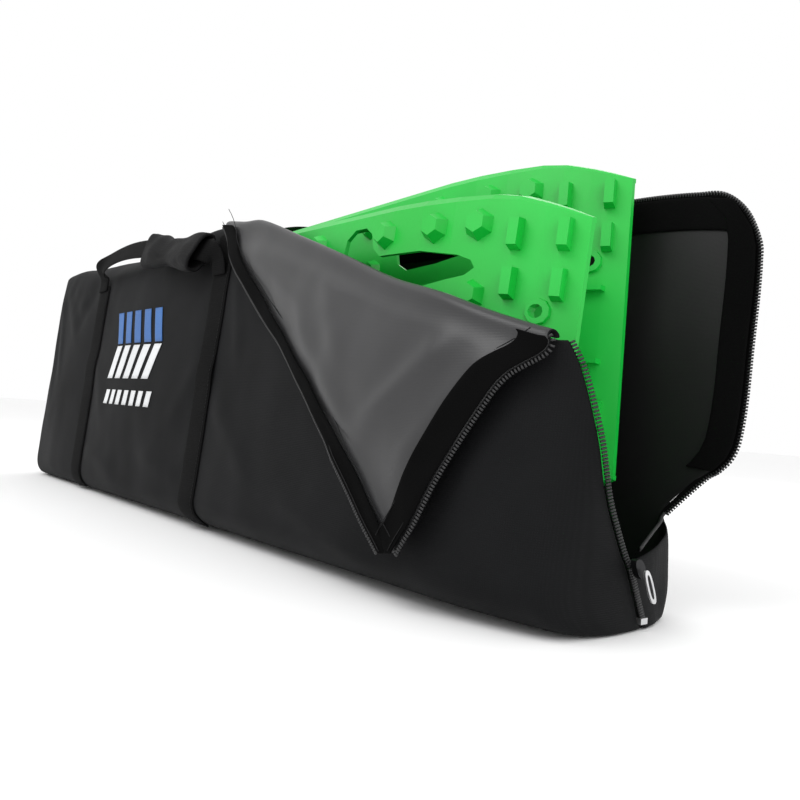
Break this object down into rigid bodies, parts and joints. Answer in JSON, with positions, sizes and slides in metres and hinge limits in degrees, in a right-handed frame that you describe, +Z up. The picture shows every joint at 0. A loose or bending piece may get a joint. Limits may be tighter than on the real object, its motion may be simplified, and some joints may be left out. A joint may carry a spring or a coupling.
{
  "type": "traction board set in carry bag",
  "caption": "Moulded vehicle traction boards with cleats and hand slots, held in an open zipped fabric carry bag with webbing handles.",
  "frame": {"origin": "centre of the bag's base panel, on the surface it stands on", "axes": "+X along the bag towards its open end, -Y towards the front panel with the badge, +Z up"},
  "size_m": [1.2142, 0.2495, 0.3886],
  "materials": {
    "back_binding_end_mat": "woven binding tape",
    "back_binding_top_mat": "woven binding tape",
    "back_lining_mat": "coated nylon lining",
    "back_panel_mat": "matte woven polyester",
    "badge_mat": "moulded soft badge",
    "base_panel_mat": "matte woven polyester",
    "bottom_stop_mat": "plated",
    "closed_zip_coil_mat": "moulded nylon coil",
    "corner_tab_mat": "woven webbing",
    "far_end_panel_mat": "matte woven polyester",
    "flap_binding_end_mat": "woven binding tape",
    "flap_binding_top_mat": "woven binding tape",
    "flap_lining_mat": "coated nylon lining, slight sheen",
    "flap_panel_mat": "matte woven polyester",
    "flap_zip_coil_mat": "moulded nylon coil",
    "front_board_mat": "moulded green nylon, satin",
    "front_end_panel_mat": "matte woven polyester",
    "front_handle_mat": "woven webbing",
    "front_lining_mat": "coated nylon lining",
    "front_panel_mat": "matte woven polyester",
    "front_zip_coil_mat": "moulded nylon coil",
    "handle_wrap_mat": "padded fabric",
    "pull_tab_mat": "bright plated",
    "rear_board_mat": "moulded green nylon, satin",
    "rear_end_panel_mat": "matte woven polyester",
    "rear_handle_mat": "woven webbing",
    "rear_zip_coil_mat": "moulded nylon coil",
    "slider_body_mat": "black lacquer",
    "strap_back_far_mat": "woven webbing",
    "strap_back_near_mat": "woven webbing",
    "strap_front_far_mat": "woven webbing",
    "strap_front_near_mat": "woven webbing",
    "top_gusset_front_mat": "matte woven polyester",
    "top_gusset_rear_mat": "matte woven polyester",
    "top_zip_coil_mat": "moulded nylon coil"
  },
  "bodies": {
    "bag": {"base_panel": "base_panel_mat", "front_panel": "front_panel_mat", "front_lining": "front_lining_mat", "back_panel": "back_panel_mat", "back_lining": "back_lining_mat", "far_end_panel": "far_end_panel_mat", "top_gusset_front": "top_gusset_front_mat", "top_gusset_rear": "top_gusset_rear_mat", "front_end_panel": "front_end_panel_mat", "rear_end_panel": "rear_end_panel_mat", "front_zip_coil": "front_zip_coil_mat", "rear_zip_coil": "rear_zip_coil_mat", "closed_zip_coil": "closed_zip_coil_mat", "bottom_stop": "bottom_stop_mat", "top_zip_coil": "top_zip_coil_mat", "strap_front_far": "strap_front_far_mat", "strap_front_near": "strap_front_near_mat", "strap_back_far": "strap_back_far_mat", "strap_back_near": "strap_back_near_mat", "badge": "badge_mat", "corner_tab": "corner_tab_mat", "back_binding_end": "back_binding_end_mat", "back_binding_top": "back_binding_top_mat"},
    "front_mat": {"front_board": "front_board_mat"},
    "rear_mat": {"rear_board": "rear_board_mat"},
    "flap": {"flap_panel": "flap_panel_mat", "flap_lining": "flap_lining_mat", "flap_binding_top": "flap_binding_top_mat", "flap_binding_end": "flap_binding_end_mat", "flap_zip_coil": "flap_zip_coil_mat"},
    "slider": {"slider_body": "slider_body_mat"},
    "pull": {"pull_tab": "pull_tab_mat"},
    "front_handle_body": {"front_handle": "front_handle_mat", "handle_wrap": "handle_wrap_mat"},
    "rear_handle_body": {"rear_handle": "rear_handle_mat"}
  },
  "joints": [
    {"name": "front_mat_slide", "type": "slide", "parent": "bag", "child": "front_mat", "axis": [0.9987, -0.0497, -0.0116], "range_m": [-0.012, 0.02]},
    {"name": "rear_mat_slide", "type": "slide", "parent": "bag", "child": "rear_mat", "axis": [0.9988, 0.0022, 0.0483], "range_m": [-0.01, 0.6]},
    {"name": "flap_hinge", "type": "hinge", "parent": "bag", "child": "flap", "pos_m": [0.08, -0.095, 0.357], "axis": [-0.9539, 0.0263, 0.2991], "range_deg": [0, 150]},
    {"name": "slider_travel", "type": "slide", "parent": "bag", "child": "slider", "axis": [-0.025, 0.4866, -0.8733], "range_m": [0, 0.028]},
    {"name": "pull_hinge", "type": "hinge", "parent": "slider", "child": "pull", "pos_m": [0.58016, -0.02077, 0.04669], "axis": [0, -1, 0], "range_deg": [0, 120]},
    {"name": "front_handle_swing", "type": "hinge", "parent": "bag", "child": "front_handle_body", "pos_m": [-0.35, -0.07, 0.316], "axis": [0.9977, -0.0499, -0.0449], "range_deg": [0, 100]},
    {"name": "rear_handle_swing", "type": "hinge", "parent": "bag", "child": "rear_handle_body", "pos_m": [-0.15, 0.098, 0.326], "axis": [1, 0, 0], "range_deg": [0, 150]}
  ]
}
